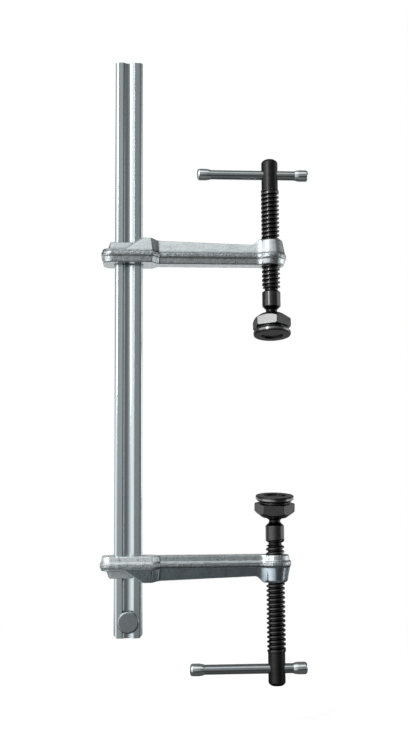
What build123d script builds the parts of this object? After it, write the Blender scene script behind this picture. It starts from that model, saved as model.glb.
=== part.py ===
from build123d import *
from math import cos, radians, sin, sqrt
import os

# Bar clamp with a grooved steel rail and two forged sliding arms whose screws face each other.
# Millimetres. Origin at the centre of the rail's lower end face, +Z up the rail,
# +X towards the screws, Y through the rail's thickness.

# Rail
rail_length = 521.0
rail_width = 25.0
rail_thickness = 12.0
rail_corner_radius = 3.0
rail_end_chamfer = 2.6
groove_width = 10.0
groove_depth = 2.3

# Stop rivet near the rail's lower end
rivet_height = 13.6
rivet_shank_radius = 4.5
rivet_head_radius = 9.5
rivet_head_thickness = 2.6
rivet_head_edge = 0.6
rivet_tail_radius = 6.8
rivet_tail_thickness = 1.8
rivet_tail_edge = 0.8

# Where the two arms stand on the rail, measured to the plane where the forging dies met
upper_arm_height = 338.5
lower_arm_height = 62.5
arm_slot_clearance = 0.4

# Forged arm, heights measured from the die plane: outer side away from the other arm
spindle_axis_x = 130.0
jaw_side_depth = 7.8
outer_draft = 12.0
jaw_draft = 9.0
eye_left = -24.4
eye_right = 21.5
eye_half_depth = 15.5
eye_corner_radius = 9.0
eye_edge_radius = 1.5
eye_step_height = 4.6
tier_left = -20.6
tier_right = 8.0
tier_half_depth = 14.4
tier_corner_radius = 6.0
tier_height = 11.2
tier_draft = 20.0
ramp_start = -4.0
ramp_end = 12.0
root_height = 15.0
ramp_radius = 4.0
neck_end = 27.5
neck_bend_radius = 1.5
beam_half_width = 8.5
beam_root_height = 14.0
beam_tip_height = 10.9
boss_height = 16.6
boss_outer_radius = 10.9
boss_waist_radius = 13.8
boss_jaw_radius = 12.1
boss_outer_edge = 1.5
boss_jaw_edge = 0.8
boss_fillet = 6.0
boss_flare_radius = 9.0
flash_width = 0.35
flash_thickness = 4.0

# Spindle, lengths measured from its head end
thread_radius = 8.25
thread_clearance = 0.06
thread_lead_in = 0.8
head_radius = 7.55
head_chamfer = 2.7
head_length = 28.5
thread_length = 93.0
undercut_radius = 5.9
undercut_length = 2.0
collar_radius = 8.35
collar_chamfer = 1.4
collar_length = 14.5
collar_cone_length = 3.2
neck_radius = 5.16
bar_hole_distance = 14.5
upper_spindle_out = 76.2
lower_spindle_out = 88.8

# Tommy bar
bar_radius = 4.3
bar_hole_clearance = 0.2
bar_overall = 103.0
cap_radius = 5.4
cap_length = 12.5
cap_end_wall = 2.5
cap_dome = 2.2
cap_mouth_radius = 4.6
cap_taper = 4.5
upper_bar_shift = -15.8
lower_bar_shift = -24.6

# Swivel pad, heights measured from its clamping face
pad_stack = 27.2
ball_radius = 9.4
ball_centre_height = 14.1
ball_pin_radius = 3.0
ball_pin_clearance = 0.05
ball_pin_setback = 1.2
ball_pin_head_radius = 4.0
ball_pin_head_length = 1.2
socket_clearance = 0.06
seat_thickness = 0.94
seat_rim_depth = 2.8
seat_hole_radius = 5.0
socket_step_depth = 0.3
holder_flats = 31.2
holder_bottom = 7.0
holder_flat_top = 15.9
holder_shoulder_height = 19.2
holder_shoulder_radius = 11.3
holder_top = 20.0
holder_lip_radius = 8.0
holder_edge = 0.7
spigot_radius = 11.0
spigot_bottom = 2.5
disc_radius = 17.0
disc_edge = 0.6
disc_rim_height = 3.3
disc_back_height = 4.9
disc_back_radius = 14.9
disc_recess_radius = 10.0
disc_recess_depth = 1.2
disc_floor = 2.2
disc_neck_radius = 13.3
disc_neck_top = 6.7
clip_wire_radius = 0.65
clip_wire_sides = 8
clip_height = 5.8
clip_gap_angle = 16.0
upper_pad_lean = 9.0
lower_pad_lean = -9.0
upper_holder_turn = 6.8
lower_holder_turn = 40.0

# Worked out from the values above
eye_profile_margin = 6.0
cut_margin = 10.0
boss_middle = spindle_axis_x
socket_radius = ball_radius + socket_clearance
seat_outer_radius = socket_radius + seat_thickness
seat_socket_radius = seat_outer_radius + socket_clearance
ball_flat_rise = sqrt(ball_radius**2 - neck_radius**2)
thread_end = head_length + thread_length
collar_start = thread_end + undercut_length
collar_end = collar_start + collar_length
spindle_length = collar_end + collar_cone_length

os.makedirs("parts", exist_ok=True)


def revolved(points):
    """A solid turned about Z from a closed outline of (radius, height) points."""
    outline = make_face(Polyline(*[(r, 0, z) for r, z in points], close=True))
    return revolve(outline, axis=Axis.Z)


def rail():
    section = RectangleRounded(rail_width, rail_thickness, rail_corner_radius)
    groove_radius = (groove_width**2 / 4 + groove_depth**2) / (2 * groove_depth)
    centre_y = rail_thickness / 2 - groove_depth + groove_radius
    for side in (1, -1):
        section -= Pos(0, side * centre_y) * Circle(groove_radius)
    bar = extrude(section, rail_length)
    half = rail_width / 2
    for side in (1, -1):
        corner = Polyline(
            (side * half, 0),
            (side * (half - rail_end_chamfer), 0),
            (side * half, rail_end_chamfer),
            close=True,
        )
        wedge = extrude(Plane.XZ * make_face(corner), rail_thickness, both=True)
        bar -= wedge
    hole = Cylinder(rivet_shank_radius, rail_thickness * 2, rotation=(90, 0, 0))
    return bar - Pos(0, 0, rivet_height) * hole


def stop_rivet():
    front = rail_thickness / 2
    outline = [
        (0, -front - rivet_tail_thickness),
        (rivet_tail_radius - rivet_tail_edge, -front - rivet_tail_thickness),
        (rivet_tail_radius, -front - rivet_tail_thickness + rivet_tail_edge),
        (rivet_tail_radius, -front),
        (rivet_shank_radius, -front),
        (rivet_shank_radius, front),
        (rivet_head_radius, front),
        (rivet_head_radius, front + rivet_head_thickness - rivet_head_edge),
        (rivet_head_radius - rivet_head_edge, front + rivet_head_thickness),
        (0, front + rivet_head_thickness),
    ]
    return Pos(0, 0, rivet_height) * Rot(90, 0, 0) * revolved(outline)


def eye_outline(grow):
    """Plan of the eye that runs round the rail, ending in the slope down to the beam.

    Its outline runs counterclockwise, so that the plan faces up.
    """
    left = eye_left - grow
    deep = eye_half_depth + grow
    thin = beam_half_width + grow
    inside = neck_end + eye_profile_margin
    plan = make_face(
        Polyline(
            (left, -deep),
            (eye_right + grow, -deep),
            (neck_end + grow, -thin),
            (inside, -thin),
            (inside, thin),
            (neck_end + grow, thin),
            (eye_right + grow, deep),
            (left, deep),
            close=True,
        )
    )
    corners = plan.vertices().sort_by(Axis.X)
    plan = fillet(corners[0:2], eye_corner_radius + grow)
    shoulders = plan.vertices().filter_by(lambda v: abs(v.X - eye_right - grow) < flash_width)
    plan = fillet(shoulders, eye_edge_radius)
    bends = plan.vertices().filter_by(lambda v: abs(v.X - neck_end - grow) < flash_width)
    return fillet(bends, neck_bend_radius)


def beam_outline(grow):
    """Plan of the beam, flaring where it runs into the boss, counterclockwise too."""
    thin = beam_half_width + grow
    reach = boss_waist_radius + grow
    flare = boss_flare_radius
    flare_x = sqrt((reach + flare) ** 2 - (thin + flare) ** 2)
    touch = reach / (reach + flare)
    flare_start = boss_middle - flare_x
    meet = (boss_middle - flare_x * touch, (thin + flare) * touch)
    half_turn = Vector(0, -1).get_angle(Vector(flare_x, -(thin + flare))) / 2
    bow = (
        flare_start + flare * sin(radians(half_turn)),
        thin + flare - flare * cos(radians(half_turn)),
    )
    front = [
        Line((eye_right, -thin), (flare_start, -thin)),
        ThreePointArc((flare_start, -thin), (bow[0], -bow[1]), (meet[0], -meet[1])),
        Line((meet[0], -meet[1]), (boss_middle, 0)),
    ]
    back = [
        Line((boss_middle, 0), meet),
        ThreePointArc(meet, bow, (flare_start, thin)),
        Line((flare_start, thin), (eye_right, thin)),
    ]
    end = Line((eye_right, thin), (eye_right, -thin))
    return make_face(Curve() + front + back + [end])


def drafted(plan, outer, jaw, draft):
    """A plan on the die plane drawn out both ways with sloping sides."""
    up = extrude(plan, outer, dir=(0, 0, 1), taper=draft)
    down = extrude(plan, jaw, dir=(0, 0, -1), taper=jaw_draft)
    return up + down


def side_profile():
    """Side view of eye, ramp, root and beam, as wide as the whole arm."""
    low = -jaw_side_depth
    lift_x = boss_middle - boss_outer_radius
    lift_start = lift_x - boss_fillet
    tip = beam_tip_height
    outline = Polyline(
        (eye_left - cut_margin, low),
        (eye_left - cut_margin, eye_step_height),
        (ramp_start, eye_step_height),
        (ramp_end, root_height),
        (eye_right, root_height),
        (neck_end, beam_root_height),
        (lift_start, tip),
        (lift_x, boss_height),
        (boss_middle, boss_height),
        (boss_middle, low),
        close=True,
    )
    face = make_face(outline)
    ramp_corners = face.vertices().filter_by(
        lambda v: abs(v.X - ramp_start) < 0.1 or abs(v.X - ramp_end) < 0.1
    )
    face = fillet(ramp_corners, ramp_radius)
    lift = face.vertices().filter_by(lambda v: abs(v.X - lift_start) < 0.1)
    face = fillet(lift, boss_fillet)
    return extrude(Plane.XZ * face, eye_half_depth + cut_margin, both=True)


def eye_tier():
    """The upper step of the eye, smaller and more sloping than the first."""
    length = tier_right - tier_left
    plan = Pos((tier_left + tier_right) / 2, 0) * RectangleRounded(
        length, 2 * tier_half_depth, tier_corner_radius
    )
    return extrude(plan, tier_height, dir=(0, 0, 1), taper=tier_draft)


def boss():
    outline = [
        (0, -jaw_side_depth),
        (boss_jaw_radius - boss_jaw_edge, -jaw_side_depth),
        (boss_jaw_radius, -jaw_side_depth + boss_jaw_edge),
        (boss_waist_radius, 0),
        (boss_outer_radius, boss_height - boss_outer_edge),
        (boss_outer_radius - boss_outer_edge, boss_height),
        (0, boss_height),
    ]
    return Pos(boss_middle, 0, 0) * revolved(outline)


def flash():
    """The thin trimmed band that the dies leave all round the forging."""
    plan = eye_outline(flash_width) + beam_outline(flash_width)
    plan += Pos(boss_middle, 0) * Circle(boss_waist_radius + flash_width)
    return extrude(plan, flash_thickness / 2, both=True)


def arm():
    tall = max(root_height, boss_height)
    body = drafted(eye_outline(0), tall, jaw_side_depth, outer_draft)
    body += drafted(beam_outline(0), tall, jaw_side_depth, outer_draft)
    body = body & side_profile()
    body += eye_tier()
    body += boss()
    body += flash()
    slot = RectangleRounded(
        rail_width + 2 * arm_slot_clearance,
        rail_thickness + 2 * arm_slot_clearance,
        rail_corner_radius + arm_slot_clearance,
    )
    body -= extrude(slot, tall + cut_margin, both=True)
    bore = Cylinder(thread_radius + thread_clearance, 4 * tall)
    return body - Pos(boss_middle, 0, 0) * bore


def spindle():
    """Head up, pad end down, with the head's end face at height 0."""
    ball_flat = collar_end + pad_stack - ball_centre_height - ball_flat_rise
    pin_end = collar_end + pad_stack - ball_centre_height + ball_radius - ball_pin_setback
    outline = [
        (0, 0),
        (head_radius - head_chamfer, 0),
        (head_radius, -head_chamfer),
        (head_radius, -head_length),
        (thread_radius, -head_length - thread_lead_in),
        (thread_radius, -thread_end + thread_lead_in),
        (undercut_radius, -thread_end),
        (undercut_radius, -collar_start),
        (collar_radius - collar_chamfer, -collar_start),
        (collar_radius, -collar_start - collar_chamfer),
        (collar_radius, -collar_end),
        (neck_radius, -spindle_length),
        (neck_radius, -ball_flat),
        (ball_pin_radius, -ball_flat),
        (ball_pin_radius, -pin_end + ball_pin_head_length),
        (ball_pin_head_radius, -pin_end),
        (0, -pin_end),
    ]
    hole = Cylinder(bar_radius + bar_hole_clearance, 4 * head_radius, rotation=(0, 90, 0))
    return revolved(outline) - Pos(0, 0, -bar_hole_distance) * hole


def tommy_bar():
    length = bar_overall - 2 * cap_end_wall
    return Cylinder(bar_radius, length, rotation=(0, 90, 0))


def bar_cap():
    """End cap on the bar's right end, with the bar's middle at the origin."""
    end = bar_overall / 2
    outline = [
        (0, end - cap_end_wall),
        (bar_radius, end - cap_end_wall),
        (bar_radius, end - cap_length),
        (cap_mouth_radius, end - cap_length),
        (cap_radius, end - cap_length + cap_taper),
        (cap_radius, end),
        (0, end),
    ]
    cap = revolved(outline)
    rim = cap.edges().filter_by(GeomType.CIRCLE).sort_by(Axis.Z)[-1]
    return Rot(0, 90, 0) * fillet(rim, cap_dome)


def ball():
    """Swivel ball with its centre at the origin, bored for the spindle's pin."""
    flat = Pos(0, 0, ball_flat_rise + ball_radius) * Box(
        2 * ball_radius, 2 * ball_radius, 2 * ball_radius
    )
    wall = ball_pin_radius + ball_pin_clearance
    pin_end = ball_radius - ball_pin_setback
    head_start = pin_end - ball_pin_head_length - ball_pin_clearance
    spread = (ball_pin_head_radius - ball_pin_radius) / ball_pin_head_length
    outline = [
        (0, ball_radius),
        (wall, ball_radius),
        (wall, -head_start),
        (wall + spread * (ball_radius - head_start), -ball_radius),
        (0, -ball_radius),
    ]
    return Sphere(ball_radius) - flat - revolved(outline)


def ball_seat():
    """Hardened cup under the ball, which takes the clamping load into the holder."""
    shell = Sphere(seat_outer_radius) - Sphere(socket_radius)
    above = Pos(0, 0, seat_outer_radius - seat_rim_depth) * Box(
        4 * seat_outer_radius, 4 * seat_outer_radius, 2 * seat_outer_radius
    )
    return shell - above - Cylinder(seat_hole_radius, 4 * seat_outer_radius)


def pad_holder():
    """Hexagon that holds the ball, with its conical lip closed over it."""
    corner = holder_flats / 2 / cos(radians(30))
    fall = holder_shoulder_height - holder_flat_top
    slope = (holder_flats / 2 - holder_shoulder_radius) / fall
    cone_start = holder_shoulder_height - (corner - holder_shoulder_radius) / slope
    outline = [
        (0, holder_bottom),
        (corner - holder_edge, holder_bottom),
        (corner, holder_bottom + holder_edge),
        (corner, cone_start),
        (holder_shoulder_radius, holder_shoulder_height),
        (holder_lip_radius, holder_top),
        (0, holder_top),
    ]
    prism = extrude(RegularPolygon(corner, 6, rotation=30), holder_top)
    body = revolved(outline) & prism
    spigot_length = holder_bottom - spigot_bottom
    body += Pos(0, 0, spigot_bottom + spigot_length / 2) * Cylinder(spigot_radius, spigot_length)
    body = Pos(0, 0, -ball_centre_height) * body
    body -= Sphere(socket_radius)
    lower = Sphere(seat_socket_radius)
    lower -= Pos(0, 0, seat_socket_radius - socket_step_depth) * Box(
        4 * seat_socket_radius, 4 * seat_socket_radius, 2 * seat_socket_radius
    )
    return body - lower


def pad_disc():
    """Clamping disc with a shallow recess in its face and a neck that turns on the holder."""
    groove_floor = disc_neck_radius - clip_wire_radius
    outline = [
        (0, disc_recess_depth),
        (disc_recess_radius, disc_recess_depth),
        (disc_recess_radius, 0),
        (disc_radius - disc_edge, 0),
        (disc_radius, disc_edge),
        (disc_radius, disc_rim_height),
        (disc_back_radius, disc_back_height),
        (disc_neck_radius, disc_back_height),
        (disc_neck_radius, clip_height - clip_wire_radius),
        (groove_floor, clip_height - clip_wire_radius),
        (groove_floor, clip_height + clip_wire_radius),
        (disc_neck_radius, clip_height + clip_wire_radius),
        (disc_neck_radius, disc_neck_top),
        (spigot_radius + socket_clearance, disc_neck_top),
        (spigot_radius + socket_clearance, disc_floor),
        (0, disc_floor),
    ]
    return Pos(0, 0, -ball_centre_height) * revolved(outline)


def pad_clip_ring():
    """Open wire ring that snaps into the disc's neck, with its gap on the rail's side."""
    wire = RegularPolygon(clip_wire_radius, clip_wire_sides)
    section = Plane.XZ * Pos(disc_neck_radius, 0) * wire
    ring = revolve(section, axis=Axis.Z, revolution_arc=360 - clip_gap_angle)
    turn = 180 + clip_gap_angle / 2
    return Pos(0, 0, clip_height - ball_centre_height) * Rot(0, 0, turn) * ring


def clamp_side(spindle_out, bar_shift, pad_lean, holder_turn):
    """Every piece of one side, with the die plane at height 0 and the screw's head up."""
    head_end = boss_height + spindle_out
    at_spindle = Pos(boss_middle, 0, head_end)
    at_bar = at_spindle * Pos(bar_shift, 0, -bar_hole_distance)
    at_ball = at_spindle * Pos(0, 0, -(collar_end + pad_stack - ball_centre_height))
    at_pad = at_ball * Rot(-pad_lean, 0, 0)
    at_holder = at_pad * Rot(0, 0, holder_turn)
    return {
        "arm": arm(),
        "spindle": at_spindle * spindle(),
        "tommy_bar": at_bar * tommy_bar(),
        "bar_cap_right": at_bar * bar_cap(),
        "bar_cap_left": at_bar * Rot(0, 0, 180) * bar_cap(),
        "ball": at_ball * ball(),
        "ball_seat": at_ball * ball_seat(),
        "pad_holder": at_holder * pad_holder(),
        "pad_disc": at_pad * pad_disc(),
        "pad_clip_ring": at_pad * pad_clip_ring(),
    }


nodes = {"rail": rail(), "stop_rivet": stop_rivet()}
at_upper = Pos(0, 0, upper_arm_height)
at_lower = Pos(0, 0, lower_arm_height) * Rot(180, 0, 0)
upper = clamp_side(upper_spindle_out, upper_bar_shift, upper_pad_lean, upper_holder_turn)
lower = clamp_side(lower_spindle_out, lower_bar_shift, lower_pad_lean, lower_holder_turn)
for name in upper:
    nodes[f"upper_{name}"] = at_upper * upper[name]
    nodes[f"lower_{name}"] = at_lower * lower[name]

for name, piece in nodes.items():
    export_step(piece, f"parts/{name}.step")

pad_height = collar_end + pad_stack
upper_face = upper_arm_height + boss_height + upper_spindle_out - pad_height
lower_face = lower_arm_height - boss_height - lower_spindle_out + pad_height
print(f"pad faces at {upper_face:.2f} and {lower_face:.2f}, opening {upper_face - lower_face:.2f}")
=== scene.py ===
from math import cos, degrees, pi, radians, sin, sqrt

import bpy
from mathutils import Matrix, Vector


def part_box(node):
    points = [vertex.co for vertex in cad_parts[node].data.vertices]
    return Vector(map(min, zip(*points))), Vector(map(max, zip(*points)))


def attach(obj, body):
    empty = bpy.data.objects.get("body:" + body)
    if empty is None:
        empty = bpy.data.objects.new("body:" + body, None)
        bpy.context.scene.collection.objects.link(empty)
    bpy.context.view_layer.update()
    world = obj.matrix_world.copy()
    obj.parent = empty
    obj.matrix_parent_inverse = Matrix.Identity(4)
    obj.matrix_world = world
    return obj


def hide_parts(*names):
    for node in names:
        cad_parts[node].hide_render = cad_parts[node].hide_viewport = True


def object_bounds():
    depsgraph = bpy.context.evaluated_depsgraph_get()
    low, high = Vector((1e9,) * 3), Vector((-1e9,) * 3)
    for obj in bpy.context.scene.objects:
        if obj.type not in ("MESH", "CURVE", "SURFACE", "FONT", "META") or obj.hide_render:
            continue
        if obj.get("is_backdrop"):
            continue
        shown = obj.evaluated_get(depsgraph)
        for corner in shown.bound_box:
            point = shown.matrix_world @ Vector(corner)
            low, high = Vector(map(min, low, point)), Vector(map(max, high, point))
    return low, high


# Bar clamp: grooved rail, two forged arms, and a screw with a swivel pad in each arm.
# Sizes are in millimetres where no heading says otherwise, and mm turns them into metres.
mm = 0.001

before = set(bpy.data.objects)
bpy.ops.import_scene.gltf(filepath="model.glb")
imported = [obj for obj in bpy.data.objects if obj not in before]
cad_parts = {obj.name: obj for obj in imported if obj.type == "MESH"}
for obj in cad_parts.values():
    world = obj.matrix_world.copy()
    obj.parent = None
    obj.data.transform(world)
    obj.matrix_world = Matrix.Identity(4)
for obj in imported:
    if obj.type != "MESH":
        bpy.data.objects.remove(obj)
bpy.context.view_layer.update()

sides = ("upper", "lower")
turn_segments = 96
weld_gap = 0.001

# Camera; turns are in degrees
camera_place = (7.68, -881.89, 124.04)
camera_yaw = 3.899
camera_pitch = 6.767
camera_roll = -0.387
camera_lens = 47.17
camera_sensor = 36.0

# Forged arm, heights from the plane where the dies met
arm_jaw_depth = 7.8
arm_voxel = 0.5
arm_smooth_rounds = 5
arm_hammer_size = 7.0
arm_hammer_depth = 0.16
flash_middle = 0.9
flash_half_height = 2.8
flash_grain_size = 2.2
flash_grain_depth = 0.42
slot_width = 25.9
slot_thickness = 12.9
slot_corner = 3.45
slot_corner_segments = 8
slot_cutter_length = 60.0
bore_radius = 8.5
bore_mouth = 1.0
bore_cutter_overrun = 3.0
spindle_axis_x = 130.0
boss_height = 16.6

# Where the arm's finish changes; the ramp's foot lies on a slanting line
ramp_slant = 1.5
ramp_foot = 8.75
# How far along the lower arm its eye's painted highlight reaches
lower_eye_light_reach = 24.0
flash_reach = 3.3

# Spindle, heights from the head's end downwards; profiles are rings of (radius, height)
thread_radius = 8.25
thread_lead_in = 0.8
thread_root = 6.5
thread_reach = 8.6
thread_root_half = 0.45
thread_reach_half = 1.52
thread_lead = 4.0
thread_steps = 60
thread_runout_steps = 34
thread_runout_swell = 0.3
head_radius = 7.55
head_length = 28.5
head_end = [(head_radius - 2.7, 0), (head_radius - 0.95, -1.2), (head_radius, -2.7)]
thread_length = 93.0
undercut_radius = 5.9
undercut_length = 2.0
collar_radius = 8.35
collar_chamfer = 1.4
collar_length = 14.5
collar_cone_length = 3.2
bar_hole_distance = 14.5
bar_hole_radius = 4.5
bar_hole_mouth = 0.7
bar_hole_flare = 2.2
bar_hole_reach = 9.2
pin_radius = 3.0
pin_flare_radius = 4.0
pin_flare_length = 1.2
pin_end_inset = 1.2
spindle_edge_round = 0.22

# Swivel pad, heights from its clamping face
ball_radius = 9.4
neck_radius = 5.16
ball_flat_rise = sqrt(ball_radius**2 - neck_radius**2)
ball_height = 14.1
pad_stack = 27.2
clip_height = 5.8
clip_wire = 0.65
clip_wire_sides = 16
clip_steps = 80
disc_radius = 17.0
disc_face_chamfer = 0.6
disc_recess_radius = 10.0
disc_recess_depth = 1.2
disc_rim_top = 3.3
disc_shoulder_width = 2.1
disc_shoulder_top = 4.9
disc_web_top = 2.2
disc_bore_radius = 11.06
disc_neck_radius = 13.3
disc_neck_top = 6.7
disc_edge_round = 0.16
holder_edge_round = 0.25
clip_gap = 16.0
pad_lean = {"upper": 9.0, "lower": -9.0}

# Tommy bar; the cap's profiles are rings of (radius, distance from its mouth or its end)
bar_radius = 4.3
bar_half = 51.5
bar_chamfer = 0.4
cap_radius = 5.4
cap_length = 12.5
cap_wall = 2.5
cap_flare = [(4.5, 0.0), (4.8, 1.0), (5.15, 2.6), (cap_radius, 4.6)]
cap_end = [(cap_radius, 2.2), (5.1, 1.1), (4.3, 0.3), (3.2, 0.0)]

# Rail and stop rivet; the head's profile is rings of (radius, height over the rail)
rail_half_width = 12.5
rail_half_thickness = 6.0
rail_crown = 0.4
rail_edge_round = 0.3
rail_groove_edge = 4.8
rivet_height = 13.6
rivet_radius = 4.5
rivet_tail_radius = 6.8
rivet_tail_height = 1.8
rivet_tail_chamfer = 0.8
rivet_head = [(9.2, 0), (9.5, 0.3), (9.5, 1.3), (9.35, 1.85), (8.95, 2.3), (8.4, 2.55), (7.8, 2.6)]

# Tints, as factors of red, green and blue
cool = (0.885, 1.0, 1.035)
pale_cool = (0.925, 1.0, 1.025)
shade_blue = (0.76, 1.0, 1.12)

# Floor and backdrop; the gap leaves room for the lower screw at the end of its travel
floor_gap = 39.0
floor_front = 80.0
floor_half = 2200.0
floor_pale = 0.82
floor_dim = 0.17
floor_lift = 0.6

# Key lamp, in metres
key_place = (-0.53, -0.8, 0.66)
key_target = (0.13, 0, 0.275)
key_width = 0.17
key_length = 0.7
key_power = 3.6


def deselect():
    bpy.ops.object.select_all(action="DESELECT")


def only(piece):
    deselect()
    piece.select_set(True)
    bpy.context.view_layer.objects.active = piece


def named(name):
    """Names the piece that was just added."""
    piece = bpy.context.view_layer.objects.active
    piece.name = name
    piece.data.name = name
    return piece


def editing(*steps):
    """Runs the given edit-mode steps on the active piece."""
    bpy.ops.object.mode_set(mode="EDIT")
    for step in steps:
        step()
    bpy.ops.object.mode_set(mode="OBJECT")


def select_everything():
    bpy.ops.mesh.select_all(action="SELECT")


def select_nothing():
    bpy.ops.mesh.select_all(action="DESELECT")


def weld():
    bpy.ops.mesh.remove_doubles(threshold=weld_gap * mm)


def face_outwards():
    bpy.ops.mesh.normals_make_consistent(inside=False)


def close_rims():
    """Fills every open rim and turns all faces outwards."""
    select_nothing()
    bpy.ops.mesh.select_mode(type="VERT")
    bpy.ops.mesh.select_non_manifold()
    bpy.ops.mesh.fill_holes(sides=0)
    select_everything()
    face_outwards()


def apply_modifier(piece, kind, **settings):
    only(piece)
    modifier = piece.modifiers.new(kind.lower(), kind)
    for key, value in settings.items():
        setattr(modifier, key, value)
    bpy.ops.object.modifier_apply(modifier=modifier.name)


def soften(piece, width, angle):
    """Small round on every edge that is sharper than the angle."""
    apply_modifier(
        piece,
        "BEVEL",
        width=width * mm,
        segments=2,
        limit_method="ANGLE",
        angle_limit=radians(angle),
        use_clamp_overlap=True,
    )


def shade(piece, angle=35.0):
    """Smooth shading up to the angle, with large flat faces kept flat."""
    only(piece)
    bpy.ops.object.shade_smooth_by_angle(angle=radians(angle))
    apply_modifier(piece, "WEIGHTED_NORMAL", keep_sharp=True)


def cut(piece, cutter):
    """Cuts the cutter's shape out of the piece and removes the cutter."""
    apply_modifier(piece, "BOOLEAN", object=cutter, operation="DIFFERENCE", solver="EXACT")
    bpy.data.objects.remove(cutter)


def tidy_mesh(piece):
    only(piece)
    editing(select_everything, weld, face_outwards)


def cad_copy(node, name):
    """A copy of a CAD node with its loose triangles joined and its flat faces whole."""
    copy = bpy.data.objects.new(name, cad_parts[node].data.copy())
    bpy.context.scene.collection.objects.link(copy)
    copy.data.name = name
    copy.data.materials.clear()
    only(copy)
    if copy.data.has_custom_normals:
        bpy.ops.mesh.customdata_custom_splitnormals_clear()
    editing(
        select_everything,
        weld,
        lambda: bpy.ops.mesh.dissolve_limited(angle_limit=radians(0.2)),
    )
    return copy


def turned(name, stations):
    """A turned piece on the Z axis through rings of (radius, height), closed at both ends."""
    deselect()
    radius, height = stations[0]
    bpy.ops.mesh.primitive_circle_add(
        vertices=turn_segments, radius=radius * mm, location=(0, 0, height * mm)
    )
    piece = named(name)
    bpy.ops.object.transform_apply()
    bpy.ops.object.mode_set(mode="EDIT")
    for next_radius, next_height in stations[1:]:
        rise = (next_height - height) * mm
        bpy.ops.mesh.extrude_region_move(TRANSFORM_OT_translate={"value": (0, 0, rise)})
        widen = next_radius / radius
        bpy.ops.transform.resize(
            value=(widen, widen, 1), center_override=(0, 0, next_height * mm)
        )
        radius, height = next_radius, next_height
    close_rims()
    bpy.ops.object.mode_set(mode="OBJECT")
    return piece


def placed(piece, place):
    piece.data.transform(place)
    piece.data.update()
    return piece


def copied(piece, name):
    copy = bpy.data.objects.new(name, piece.data.copy())
    copy.data.name = name
    bpy.context.scene.collection.objects.link(copy)
    return copy


def stands_for(piece, node, body, material):
    """Rides the piece on its body in place of a CAD node and gives it its finish."""
    piece.data.materials.clear()
    piece.data.materials.append(material)
    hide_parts(node)
    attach(piece, body)


# Where each side's pieces stand, from the CAD nodes

turn_over = Matrix.Rotation(pi, 4, "X")
flips = {"upper": Matrix.Identity(4), "lower": turn_over}


def die_plane(side):
    low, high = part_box(f"{side}_arm")
    height = low.z + arm_jaw_depth * mm if side == "upper" else high.z - arm_jaw_depth * mm
    return Matrix.Translation((0, 0, height)) @ flips[side]


def spindle_place(side):
    low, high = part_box(f"{side}_spindle")
    end = high.z if side == "upper" else low.z
    return Matrix.Translation((spindle_axis_x * mm, 0, end)) @ flips[side]


def bar_place(side):
    low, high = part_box(f"{side}_tommy_bar")
    return Matrix.Translation((low + high) / 2) @ Matrix.Rotation(pi / 2, 4, "Y")


def pad_place(side):
    low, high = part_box(f"{side}_ball")
    middle = (low + high) / 2
    rise = ball_flat_rise * mm
    middle.z = high.z - rise if side == "upper" else low.z + rise
    lean = Matrix.Rotation(radians(-pad_lean[side]), 4, "X")
    to_face = Matrix.Translation((0, 0, -ball_height * mm))
    return Matrix.Translation(middle) @ flips[side] @ lean @ to_face


# Shader maths


class Value:
    """A shader socket that is added, multiplied and compared like a number."""

    def __init__(self, finish, socket):
        self.finish = finish
        self.socket = socket

    def calc(self, operation, *others):
        sockets = dict(enumerate((self, *others)))
        return self.finish.node("ShaderNodeMath", {"operation": operation}, sockets)

    def __add__(self, other):
        return self.calc("ADD", other)

    def __mul__(self, other):
        return self.calc("MULTIPLY", other)

    def __sub__(self, other):
        return self.calc("SUBTRACT", other)

    def __rsub__(self, other):
        return self * -1.0 + other

    def __pow__(self, other):
        return self.calc("POWER", other)

    def least(self, other):
        return self.calc("MINIMUM", other)

    def most(self, other):
        return self.calc("MAXIMUM", other)

    def size(self):
        return self.calc("ABSOLUTE")

    def between(self, low, high):
        """0 below low, 1 above high, smooth between them. Low may be the larger."""
        settings = {"interpolation_type": "SMOOTHSTEP"}
        if low < high:
            sockets = {"Value": self, "From Min": low, "From Max": high}
            return self.finish.node("ShaderNodeMapRange", settings, sockets)
        sockets = {"Value": self, "From Min": high, "From Max": low}
        return 1.0 - self.finish.node("ShaderNodeMapRange", settings, sockets)


class Finish:
    """The nodes of one material or of the world."""

    def __init__(self, holder):
        holder.use_nodes = True
        self.tree = holder.node_tree
        self.holder = holder

    def node(self, kind, settings=None, sockets=None, output=0):
        made = self.tree.nodes.new(kind)
        for key, value in (settings or {}).items():
            setattr(made, key, value)
        for key, value in (sockets or {}).items():
            self.feed(made.inputs[key], value)
        return Value(self, made.outputs[output])

    def feed(self, socket, value):
        if isinstance(value, Value):
            self.tree.links.new(value.socket, socket)
        else:
            socket.default_value = value

    def place(self):
        return self.node("ShaderNodeTexCoord", output="Object")

    def stretched(self, place, scale):
        return self.node("ShaderNodeMapping", {}, {"Vector": place, "Scale": scale})

    def axis(self, place, name):
        return self.node("ShaderNodeSeparateXYZ", {}, {"Vector": place}, output=name)

    def noise(self, place, scale, detail=3.0, roughness=0.55):
        sockets = {"Vector": place, "Scale": scale, "Detail": detail, "Roughness": roughness}
        return self.node("ShaderNodeTexNoise", {}, sockets)

    def mix(self, factor, first, second):
        made = self.tree.nodes.new("ShaderNodeMix")
        made.data_type = "RGBA"
        self.feed(made.inputs["Factor"], factor)
        self.feed(made.inputs[6], first)
        self.feed(made.inputs[7], second)
        return Value(self, made.outputs[2])

    def bump(self, height, distance, strength):
        sockets = {"Height": height, "Distance": distance, "Strength": strength}
        return self.node("ShaderNodeBump", {}, sockets)


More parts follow.
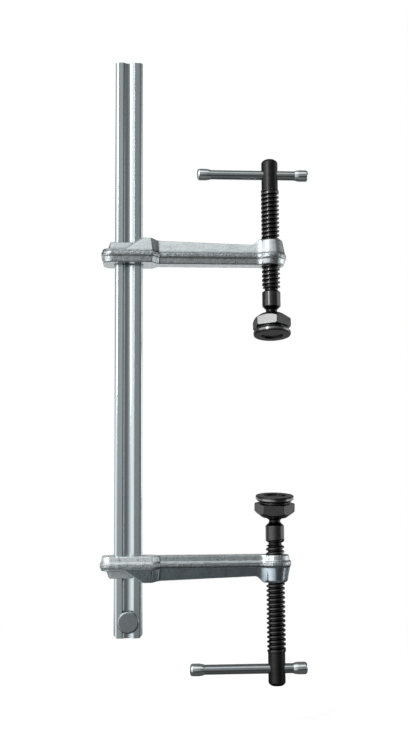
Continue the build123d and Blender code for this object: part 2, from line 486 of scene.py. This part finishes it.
def metal(colour, roughness, normal, metallic=1.0):
    """Ends a material whose colour, roughness and normal were worked out on its Finish."""
    finish = colour.finish
    shader = finish.tree.nodes["Principled BSDF"]
    finish.feed(shader.inputs["Base Color"], colour)
    finish.feed(shader.inputs["Roughness"], roughness)
    finish.feed(shader.inputs["Metallic"], metallic)
    finish.feed(shader.inputs["Normal"], normal)
    return finish.holder


def new_finish(name):
    return Finish(bpy.data.materials.new(name))


def grey(level, tint=(1.0, 1.0, 1.0)):
    return tuple(level * part for part in tint) + (1.0,)


def drawn_steel():
    """Bright drawn bar with fine lines along it, and painted shade: a dark line along the groove's
    left edge.
    """
    f = new_finish("rail_steel")
    place = f.place()
    lines = f.noise(f.stretched(place, (1400, 1400, 5)), 1.0, 4.0, 0.6)
    broad = f.noise(f.stretched(place, (260, 260, 9)), 1.0, 3.0)
    marks = f.noise(place, 210.0, 4.0, 0.6).between(0.62, 0.74)
    tone = broad * 0.6 + lines * 0.4
    colour = f.mix(tone, grey(0.58, cool), grey(0.70, cool))
    colour = f.mix(marks * 0.2, colour, grey(0.42, cool))
    # Painted shade: a narrow dark line along the groove's left edge
    scale = (f.axis(place, "X") + rail_groove_edge * mm).size().between(0.9 * mm, 0.3 * mm)
    colour = f.mix(scale * 0.85, colour, grey(0.05, cool))
    roughness = lines * 0.08 + broad * 0.08 + marks * 0.08 + 0.12
    return metal(colour, roughness, f.bump(lines, 0.02 * mm, 0.2))


def plated_forging(upper, lower):
    """Zinc-plated forging, hammered on the jaw side, rough and darker on the flash.

    The die planes stand at the given heights, and the jaw sides lie between them. The jaw sides
    carry painted shade, the lower eye a matt white painted highlight, the lower arm's underside a
    painted blue-grey shade, and the upper arm's ramp painted shade that is darkest along its foot.
    """
    f = new_finish("arm_zinc")
    place = f.place()
    # Where on the arm: the side of the die plane, and the foot of the ramp
    x = f.axis(place, "X")
    height = f.axis(place, "Z")
    outwards = (height - upper).most((height - lower) * -1.0)
    jaw = outwards.between(-1.0 * mm, -2.5 * mm)
    outer = outwards.between(2.5 * mm, 4.0 * mm)
    low_arm = height.between(lower + 40.0 * mm, lower + 10.0 * mm)
    past_foot = x - outwards * ramp_slant + ramp_foot * mm
    tier = outer * past_foot.between(1.0 * mm, -1.0 * mm)
    foot = outer * past_foot.size().between(1.3 * mm, 0.4 * mm)
    near_rail = x.between((lower_eye_light_reach + 2.0) * mm, (lower_eye_light_reach - 2.0) * mm)
    # Painted highlight: the lower arm's eye, on its jaw side near the rail and on its tier, made
    # matt white and less metallic
    lower_eye_light = low_arm * (tier * 0.8 + (1.0 - outer) * near_rail)
    # Painted shade: the lower arm's outer side, which faces down, tinted blue-grey, and its flash
    # darkened
    lower_underside_shade = outwards.between(1.2 * mm, 2.2 * mm) * low_arm * (1.0 - lower_eye_light)
    # The skin's marks, and the flash with a wandering edge
    clouds = f.noise(place, 90.0, 4.0, 0.6)
    grain = f.noise(place, 900.0, 3.0, 0.6)
    pits = f.noise(place, 420.0, 4.0, 0.65)
    wander = f.noise(place, 160.0, 3.0) * 1.2 * mm
    offset = (outwards - flash_middle * mm).size() + wander
    flash = offset.between(flash_reach * mm, (flash_reach - 1.0) * mm)
    seam = (offset - flash_reach * mm).size().between(0.9 * mm, 0.3 * mm)
    # Dark pits of the skin, laid thicker on the jaw sides as painted shade, most on the lower
    # arm's
    pits_and_jaw_shade = pits.between(0.57, 0.68) * (jaw * (low_arm * 0.4 + 0.4) + 0.2)
    # Each layer lies over the ones before it
    colour = f.mix(clouds, grey(0.58, pale_cool), grey(0.82, pale_cool))
    for amount, layer in (
        (pits_and_jaw_shade, grey(0.26, cool)),
        # Painted shade: the jaw sides darkened, more on the lower arm
        (jaw * (1.0 - lower_eye_light) * (low_arm * 0.2 + 0.27), grey(0.4, cool)),
        # Painted shade: the upper arm's ramp darkened, most along its foot
        ((tier * 0.45 + foot * 0.6) * (1.0 - low_arm), grey(0.3, cool)),
        # Painted highlight on the lower eye
        (lower_eye_light * pits.between(0.65, 0.4) * 0.7, grey(0.92, pale_cool)),
        (flash * (grain.between(0.62, 0.42) * 0.75 + 0.1), grey(0.22, cool)),
        (seam * 0.3, grey(0.14, cool)),
        (lower_underside_shade * flash * 0.6, grey(0.14, cool)),
        (lower_underside_shade * (1.0 - flash) * 0.5, grey(0.65, shade_blue)),
    ):
        colour = f.mix(amount, colour, layer)
    roughness = clouds * 0.08 + grain * 0.08 + flash * 0.12 + 0.15
    skin = grain * 0.15 + pits * 0.4 + (flash + jaw * 0.7) * (pits + grain)
    return metal(colour, roughness, f.bump(skin, 0.26 * mm, 0.7), 1.0 - lower_eye_light * 0.45)


def over_face(f, place, side):
    """Height of a point over one side's clamping face, towards its screw."""
    row = pad_place(side).inverted()[2]
    return f.axis(place, "Y") * row[1] + f.axis(place, "Z") * row[2] + row[3]


def black_oxide(name, base, worn, wear, axis_x=None, heads=None, shaded_faces=False):
    """Oiled black oxide, with bare steel showing where it rubs.

    A spindle's thread wears on its crests round axis_x, and its roots are darkened as painted
    shade; its heads, which stand outside the two heights, are duller than the rest. The discs'
    clamping faces are darkened as painted shade.
    """
    f = new_finish(name)
    place = f.place()
    clouds = f.noise(place, 240.0, 4.0, 0.6)
    grain = f.noise(place, 1500.0, 3.0, 0.6)
    scuffs = f.noise(f.stretched(place, (300, 300, 900)), 1.0, 4.0, 0.7)
    roughness = grain * 0.1 + clouds * 0.1 + 0.12
    colour = f.mix(clouds, grey(base * 0.7), grey(base * 1.35))
    rubbed = scuffs.between(0.54, 0.72) * wear
    if heads is not None:
        height = f.axis(place, "Z")
        low, high = heads
        dull = height.between(high, high + mm) + height.between(low, low - mm)
        roughness = roughness + dull * 0.14
    if axis_x is not None:
        x = f.axis(place, "X") - axis_x
        y = f.axis(place, "Y")
        radius = (x * x + y * y) ** 0.5
        crest = radius.between((thread_radius - 0.3) * mm, (thread_radius - 0.05) * mm)
        root_shade = radius.between((thread_root + 0.9) * mm, (thread_root + 0.2) * mm)
        rubbed = rubbed + crest * 0.4 * (scuffs * 0.5 + 0.5)
        # Painted shade: the thread's roots darkened
        colour = f.mix(root_shade * 0.5, colour, grey(base * 0.35))
    if shaded_faces:
        # Painted shade: the discs' clamping faces and recesses darkened
        rise = over_face(f, place, "upper").most(over_face(f, place, "lower"))
        rim = rise.between((disc_recess_depth + 0.1) * mm, (disc_recess_depth + 0.6) * mm)
        colour = f.mix(rim, grey(base * 0.24), colour)
        rubbed = rubbed * rim
    colour = f.mix(rubbed.least(1.0), colour, grey(worn))
    return metal(colour, roughness, f.bump(grain, 0.03 * mm, 0.4))


def bar_steel(name, low, high):
    """Plain steel rod, hardly marked round its length."""
    f = new_finish(name)
    place = f.place()
    rings = f.noise(f.stretched(place, (500, 60, 60)), 1.0, 3.0, 0.6)
    clouds = f.noise(place, 120.0, 3.0)
    colour = f.mix(rings * 0.4 + clouds * 0.6, grey(low, pale_cool), grey(high, pale_cool))
    roughness = rings * 0.06 + clouds * 0.06 + 0.1
    return metal(colour, roughness, f.bump(rings, 0.01 * mm, 0.25))


def plain_steel(name, low, high, roughness_low, roughness_high):
    """Steel with a cloudy tone and a fine grain."""
    f = new_finish(name)
    place = f.place()
    clouds = f.noise(place, 260.0, 4.0, 0.6)
    grain = f.noise(place, 1560.0, 2.0)
    colour = f.mix(clouds * 0.7 + grain * 0.3, grey(low, cool), grey(high, cool))
    roughness = clouds * (roughness_high - roughness_low) + roughness_low
    return metal(colour, roughness, f.bump(grain, 0.02 * mm, 0.5))


# Pieces


def thread_cutter():
    """The helical groove as a solid, running out at the head's end."""
    deselect()
    middle = (thread_root + thread_reach) / 2
    depth = thread_reach - thread_root
    bottom = -(head_length + thread_length) - thread_lead
    bpy.ops.mesh.primitive_plane_add(size=depth * mm, location=(middle * mm, 0, bottom * mm))
    cutter = named("thread_groove")
    cutter.rotation_euler = (pi / 2, 0, 0)
    bpy.ops.object.transform_apply()
    bpy.ops.object.mode_set(mode="EDIT")
    for inner, half in ((True, thread_root_half), (False, thread_reach_half)):
        select_nothing()
        bpy.ops.object.mode_set(mode="OBJECT")
        for point in cutter.data.vertices:
            point.select = (point.co.x < middle * mm) == inner
        bpy.ops.object.mode_set(mode="EDIT")
        bpy.ops.transform.resize(
            value=(1, 1, 2 * half / depth), center_override=(middle * mm, 0, bottom * mm)
        )
    select_everything()
    bpy.ops.mesh.delete(type="ONLY_FACE")
    bpy.ops.object.mode_set(mode="OBJECT")
    turns = round((thread_length + thread_lead) / thread_lead)
    ring = len(cutter.data.vertices)
    apply_modifier(
        cutter,
        "SCREW",
        axis="Z",
        angle=2 * pi,
        screw_offset=thread_lead * mm,
        iterations=turns,
        steps=thread_steps,
        render_steps=thread_steps,
    )
    rows = len(cutter.data.vertices) // ring
    for index, point in enumerate(cutter.data.vertices):
        late = index // ring - (rows - thread_runout_steps)
        if late > 0:
            swell = 1 + thread_runout_swell * late / thread_runout_steps
            point.co.x *= swell
            point.co.y *= swell
    only(cutter)
    editing(close_rims)
    return cutter


def spindle():
    thread_end = head_length + thread_length
    collar_start = thread_end + undercut_length
    collar_end = collar_start + collar_length
    ball_centre = collar_end + pad_stack - ball_height
    ball_flat = ball_centre - ball_flat_rise
    pin_end = ball_centre + ball_radius - pin_end_inset
    piece = turned(
        "spindle",
        [
            *head_end,
            (head_radius, -head_length),
            (thread_radius, -head_length - thread_lead_in),
            (thread_radius, -thread_end + thread_lead_in),
            (undercut_radius, -thread_end),
            (undercut_radius, -collar_start),
            (collar_radius - collar_chamfer, -collar_start),
            (collar_radius, -collar_start - collar_chamfer),
            (collar_radius, -collar_end),
            (neck_radius, -collar_end - collar_cone_length),
            (neck_radius, -ball_flat),
            (pin_radius, -ball_flat),
            (pin_radius, -pin_end + pin_flare_length),
            (pin_flare_radius, -pin_end),
        ],
    )
    soften(piece, spindle_edge_round, angle=20)
    cut(piece, thread_cutter())
    hole = turned(
        "bar_hole",
        [
            (bar_hole_radius + bar_hole_flare, -bar_hole_reach),
            (bar_hole_radius, -head_radius + bar_hole_mouth),
            (bar_hole_radius, head_radius - bar_hole_mouth),
            (bar_hole_radius + bar_hole_flare, bar_hole_reach),
        ],
    )
    placed(hole, Matrix.Rotation(pi / 2, 4, "Y"))
    placed(hole, Matrix.Translation((0, 0, -bar_hole_distance * mm)))
    cut(piece, hole)
    tidy_mesh(piece)
    shade(piece, 32)
    return piece


def tommy_bar():
    half = bar_half - cap_wall
    piece = turned(
        "tommy_bar",
        [
            (bar_radius - bar_chamfer, -half),
            (bar_radius, -half + bar_chamfer),
            (bar_radius, half - bar_chamfer),
            (bar_radius - bar_chamfer, half),
        ],
    )
    shade(piece)
    return piece


def bar_cap():
    """Pressed-on end cap, its closed end up and the bar's middle at height 0."""
    mouth = bar_half - cap_length
    stations = [(bar_radius, bar_half - cap_wall), (bar_radius, mouth)]
    stations += [(radius, mouth + rise) for radius, rise in cap_flare]
    stations += [(radius, bar_half - drop) for radius, drop in cap_end]
    piece = turned("bar_cap", stations)
    shade(piece, 50)
    return piece


def stop_rivet():
    """Head towards +Z here; the rail's middle plane is at height 0."""
    face = rail_half_thickness
    tail_end = face + rivet_tail_height
    stations = [
        (rivet_tail_radius - rivet_tail_chamfer, -tail_end),
        (rivet_tail_radius, -tail_end + rivet_tail_chamfer),
        (rivet_tail_radius, -face),
        (rivet_radius, -face),
        (rivet_radius, face),
    ]
    stations += [(radius, face + rise) for radius, rise in rivet_head]
    piece = turned("stop_rivet", stations)
    placed(piece, Matrix.Rotation(pi / 2, 4, "X"))
    placed(piece, Matrix.Translation((0, 0, rivet_height * mm)))
    shade(piece)
    return piece


def pad_disc():
    piece = turned(
        "pad_disc",
        [
            (disc_recess_radius, disc_recess_depth),
            (disc_recess_radius, 0.0),
            (disc_radius - disc_face_chamfer, 0.0),
            (disc_radius, disc_face_chamfer),
            (disc_radius, disc_rim_top),
            (disc_radius - disc_shoulder_width, disc_shoulder_top),
            (disc_neck_radius, disc_shoulder_top),
            (disc_neck_radius, clip_height - clip_wire),
            (disc_neck_radius - clip_wire, clip_height - clip_wire),
            (disc_neck_radius - clip_wire, clip_height + clip_wire),
            (disc_neck_radius, clip_height + clip_wire),
            (disc_neck_radius, disc_neck_top),
            (disc_bore_radius, disc_neck_top),
            (disc_bore_radius, disc_web_top),
        ],
    )
    soften(piece, disc_edge_round, angle=25)
    shade(piece)
    return piece


def pad_clip_ring():
    """Open wire ring with a round section and its gap towards -X."""
    deselect()
    bpy.ops.mesh.primitive_circle_add(
        vertices=clip_wire_sides,
        radius=clip_wire * mm,
        location=(disc_neck_radius * mm, 0, clip_height * mm),
        rotation=(pi / 2, 0, 0),
    )
    piece = named("pad_clip_ring")
    bpy.ops.object.transform_apply()
    sweep = radians(360 - clip_gap)
    editing(
        select_everything,
        lambda: bpy.ops.mesh.spin(
            steps=clip_steps, angle=sweep, center=(0, 0, 0), axis=(0, 0, 1)
        ),
        close_rims,
    )
    placed(piece, Matrix.Rotation(radians(180 + clip_gap / 2), 4, "Z"))
    shade(piece, 60)
    return piece


def noise_texture(name, size):
    texture = bpy.data.textures.new(name, "CLOUDS")
    texture.noise_scale = size * mm
    texture.noise_depth = 3
    return texture


def rail_slot():
    """The cutter of the arm's slot, with rounded corners."""
    deselect()
    bpy.ops.mesh.primitive_cube_add(size=1)
    slot = named("rail_slot")
    slot.scale = (slot_width * mm, slot_thickness * mm, slot_cutter_length * mm)
    bpy.ops.object.transform_apply()
    editing(select_nothing)
    for edge in slot.data.edges:
        first, second = (slot.data.vertices[i].co for i in edge.vertices)
        edge.select = abs(first.z - second.z) > mm
    editing(
        lambda: bpy.ops.mesh.select_mode(type="EDGE"),
        lambda: bpy.ops.mesh.bevel(
            offset=slot_corner * mm, segments=slot_corner_segments, affect="EDGES"
        ),
    )
    return slot


def screw_bore():
    """The cutter of the arm's bore, flaring at both ends for the rounded mouths."""
    mouth_radius = bore_radius + bore_mouth + bore_cutter_overrun
    bore = turned(
        "screw_bore",
        [
            (mouth_radius, -arm_jaw_depth - bore_cutter_overrun),
            (bore_radius, -arm_jaw_depth + bore_mouth),
            (bore_radius, boss_height - bore_mouth),
            (mouth_radius, boss_height + bore_cutter_overrun),
        ],
    )
    return placed(bore, Matrix.Translation((spindle_axis_x * mm, 0, 0)))


def forged_arm():
    """The upper arm about its die plane: remeshed, rounded, hammered, and then machined."""
    piece = cad_copy("upper_arm", "forged_arm")
    placed(piece, die_plane("upper").inverted())
    voxel = arm_voxel
    apply_modifier(piece, "REMESH", mode="VOXEL", voxel_size=voxel * mm)
    apply_modifier(piece, "SMOOTH", factor=0.5, iterations=arm_smooth_rounds)
    apply_modifier(
        piece,
        "DISPLACE",
        texture=noise_texture("hammered_skin", arm_hammer_size),
        strength=arm_hammer_depth * mm,
        mid_level=0.5,
    )
    band = piece.vertex_groups.new(name="flash")
    for point in piece.data.vertices:
        away = abs(point.co.z - flash_middle * mm) / (flash_half_height * mm)
        if away < 1:
            band.add([point.index], 1 - away**2, "REPLACE")
    apply_modifier(
        piece,
        "DISPLACE",
        texture=noise_texture("trimmed_flash", flash_grain_size),
        strength=flash_grain_depth * mm,
        mid_level=0.5,
        vertex_group="flash",
    )
    piece.vertex_groups.clear()
    cut(piece, rail_slot())
    cut(piece, screw_bore())
    shade(piece, 45)
    return piece


# Finishes

rail_finish = drawn_steel()
arm_finish = plated_forging(*(die_plane(side).translation.z for side in sides))
spindle_finish = black_oxide(
    "spindle_black",
    base=0.038,
    worn=0.2,
    wear=0.15,
    axis_x=spindle_axis_x * mm,
    heads=[
        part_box("lower_spindle")[0].z + head_length * mm,
        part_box("upper_spindle")[1].z - head_length * mm,
    ],
)
pad_finish = black_oxide("pad_black", base=0.085, worn=0.16, wear=0.12)
disc_finish = black_oxide("disc_black", base=0.25, worn=0.3, wear=0.2, shaded_faces=True)
ball_finish = black_oxide("ball_steel", base=0.06, worn=0.2, wear=0.2)
bar_finish = bar_steel("bar_steel", 0.42, 0.56)
cap_finish = bar_steel("cap_steel", 0.7, 0.84)
rivet_finish = plain_steel("rivet_steel", 0.34, 0.44, 0.26, 0.4)
seat_finish = plain_steel("seat_steel", 0.25, 0.35, 0.25, 0.4)
ring_finish = plain_steel("ring_steel", 0.08, 0.14, 0.2, 0.35)

# Rail and rivet

rail = cad_copy("rail", "drawn_rail")
soften(rail, rail_edge_round, angle=25)
for point in rail.data.vertices:
    point.co.y *= 1 - rail_crown / rail_half_thickness * (point.co.x / (rail_half_width * mm)) ** 2
shade(rail)
stands_for(rail, "rail", "rail", rail_finish)
stands_for(stop_rivet(), "stop_rivet", "rail", rivet_finish)

# Both sides, each piece modelled once

patterns = {
    "arm": forged_arm(),
    "spindle": spindle(),
    "tommy_bar": tommy_bar(),
    "bar_cap_left": bar_cap(),
    "pad_disc": pad_disc(),
    "pad_clip_ring": pad_clip_ring(),
}
patterns["bar_cap_right"] = copied(patterns["bar_cap_left"], "bar_cap_right")
placed(patterns["bar_cap_left"], turn_over)
finishes = {
    "arm": arm_finish,
    "spindle": spindle_finish,
    "tommy_bar": bar_finish,
    "bar_cap_left": cap_finish,
    "bar_cap_right": cap_finish,
    "pad_disc": disc_finish,
    "pad_clip_ring": ring_finish,
    "pad_holder": pad_finish,
    "ball": ball_finish,
    "ball_seat": seat_finish,
}
places = {
    "arm": die_plane,
    "spindle": spindle_place,
    "tommy_bar": bar_place,
    "bar_cap_left": bar_place,
    "bar_cap_right": bar_place,
    "pad_disc": pad_place,
    "pad_clip_ring": pad_place,
}
riding = {
    "arm": "arm",
    "spindle": "spindle",
    "tommy_bar": "bar",
    "bar_cap_left": "bar",
    "bar_cap_right": "bar",
    "pad_disc": "disc",
    "pad_clip_ring": "disc",
}
for side in sides:
    for part, pattern in patterns.items():
        piece = copied(pattern, f"{side}_{part}_finished")
        placed(piece, places[part](side))
        stands_for(piece, f"{side}_{part}", f"{side}_{riding[part]}", finishes[part])
    holder = cad_copy(f"{side}_pad_holder", f"{side}_pad_holder_finished")
    soften(holder, holder_edge_round, angle=12)
    shade(holder, 25)
    stands_for(holder, f"{side}_pad_holder", f"{side}_pad", pad_finish)
    for part in ("ball", "ball_seat"):
        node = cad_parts[f"{side}_{part}"]
        node.data.materials.clear()
        node.data.materials.append(finishes[part])
for pattern in patterns.values():
    bpy.data.objects.remove(pattern)

# Floor, studio, lamp and camera


def pale_floor():
    """White far away for the camera, and dim close by for what the metal reflects."""
    deselect()
    bpy.ops.mesh.primitive_plane_add(size=2)
    floor = named("floor")
    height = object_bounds()[0][2] - floor_gap * mm
    floor.scale = (floor_half * mm, floor_half * mm / 2 + floor_front * mm / 2, 1)
    floor.location = (0, floor_half * mm / 2 - floor_front * mm / 2, height)
    bpy.ops.object.transform_apply()
    f = new_finish("pale_floor")
    tree = f.tree
    tree.nodes.clear()
    place = f.place()
    across = f.axis(place, "X")
    along = f.axis(place, "Y")
    away = (across * across + along * along) ** 0.5
    path = f.node("ShaderNodeLightPath", output="Is Camera Ray")
    glossy = f.node("ShaderNodeLightPath", output="Is Glossy Ray")
    white = f.node("ShaderNodeEmission", {}, {"Color": grey(1.0), "Strength": 1.0 - glossy * 0.25})
    lift = f.node("ShaderNodeEmission", {}, {"Color": grey(1.0), "Strength": floor_lift})
    pale = f.node("ShaderNodeBsdfDiffuse", {}, {"Color": grey(floor_pale)})
    dim = f.node("ShaderNodeBsdfDiffuse", {}, {"Color": grey(floor_dim)})
    lit = f.node("ShaderNodeAddShader", {}, {0: lift, 1: pale})
    near = f.node("ShaderNodeMixShader", {}, {0: glossy, 1: lit, 2: dim})
    far = away.between(0.35, 0.7) * path + away.between(0.65, 1.05) * glossy
    shown = f.node("ShaderNodeMixShader", {}, {0: far, 1: near, 2: white})
    mixed = f.node("ShaderNodeMixShader", {}, {0: path.most(glossy), 1: pale, 2: shown})
    output = tree.nodes.new("ShaderNodeOutputMaterial")
    f.feed(output.inputs["Surface"], mixed)
    floor.data.materials.append(f.holder)
    floor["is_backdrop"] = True


def studio():
    """White for the camera; light and dark walls round the object for the metal to show."""
    world = bpy.data.worlds.new("studio")
    bpy.context.scene.world = world
    f = Finish(world)
    f.tree.nodes.clear()
    towards = f.node("ShaderNodeTexCoord", output="Generated")
    ahead = f.axis(towards, "Y") * -1.0
    azimuth = f.axis(towards, "X").calc("ARCTAN2", ahead) * degrees(1)
    elevation = f.axis(towards, "Z").calc("ARCSINE") * degrees(1)

    def wall(left, right, low, high, soft=8.0):
        """1 inside a soft window. Azimuth 0 is the camera's side, 90 the right."""
        across = azimuth.between(left - soft, left + soft)
        across = across * azimuth.between(right + soft, right - soft)
        upwards = elevation.between(low - soft, low + soft)
        return across * upwards * elevation.between(high + soft, high - soft)

    left_light = azimuth.between(26, -72) * azimuth.between(-105, -88)
    left_light = left_light * elevation.between(-45, -25)
    light = left_light * 1.1 + 0.19
    light = light + wall(-30, 45, 35, 66, soft=5.0) * 0.75
    light = light + wall(72, 122, -32, 20) * 1.4
    light = light + azimuth.size().between(112, 132) * elevation.between(12, 2) * 0.8
    light = light * (1.0 - wall(-8, 64, -40, -11) * 0.8)
    light = light * (1.0 - wall(52, 108, 32, 80) * 0.5)
    camera_ray = f.node("ShaderNodeLightPath", output="Is Camera Ray")
    strength = light * (1.0 - camera_ray) + camera_ray
    background = f.node(
        "ShaderNodeBackground", {}, {"Color": (1.0, 1.0, 1.0, 1.0), "Strength": strength}
    )
    output = f.tree.nodes.new("ShaderNodeOutputWorld")
    f.feed(output.inputs["Surface"], background)


def key_lamp():
    """A narrow strip of light, for the lines along the crests and the collars."""
    data = bpy.data.lights.new("key", "AREA")
    data.shape = "RECTANGLE"
    data.size = key_width
    data.size_y = key_length
    data.energy = key_power
    light = bpy.data.objects.new("key", data)
    bpy.context.scene.collection.objects.link(light)
    light.location = key_place
    direction = Vector(key_target) - Vector(key_place)
    light.rotation_euler = direction.to_track_quat("-Z", "Y").to_euler()


def camera():
    data = bpy.data.cameras.new("camera")
    data.sensor_width = camera_sensor
    data.lens = camera_lens
    seer = bpy.data.objects.new("camera", data)
    bpy.context.scene.collection.objects.link(seer)
    yaw, pitch, roll = (radians(v) for v in (camera_yaw, camera_pitch, camera_roll))
    level = Vector((sin(yaw), cos(yaw), 0))
    across = Vector((cos(yaw), -sin(yaw), 0))
    up = Vector((0, 0, 1))
    forward = cos(pitch) * level + sin(pitch) * up
    upright = cos(pitch) * up - sin(pitch) * level
    right = cos(roll) * across + sin(roll) * upright
    top = cos(roll) * upright - sin(roll) * across
    turn = Matrix((right, top, -forward)).transposed().to_4x4()
    seer.matrix_world = Matrix.Translation(Vector(camera_place) * mm) @ turn
    bpy.context.scene.camera = seer


pale_floor()
studio()
key_lamp()
camera()
bpy.context.scene.view_settings.view_transform = "Standard"
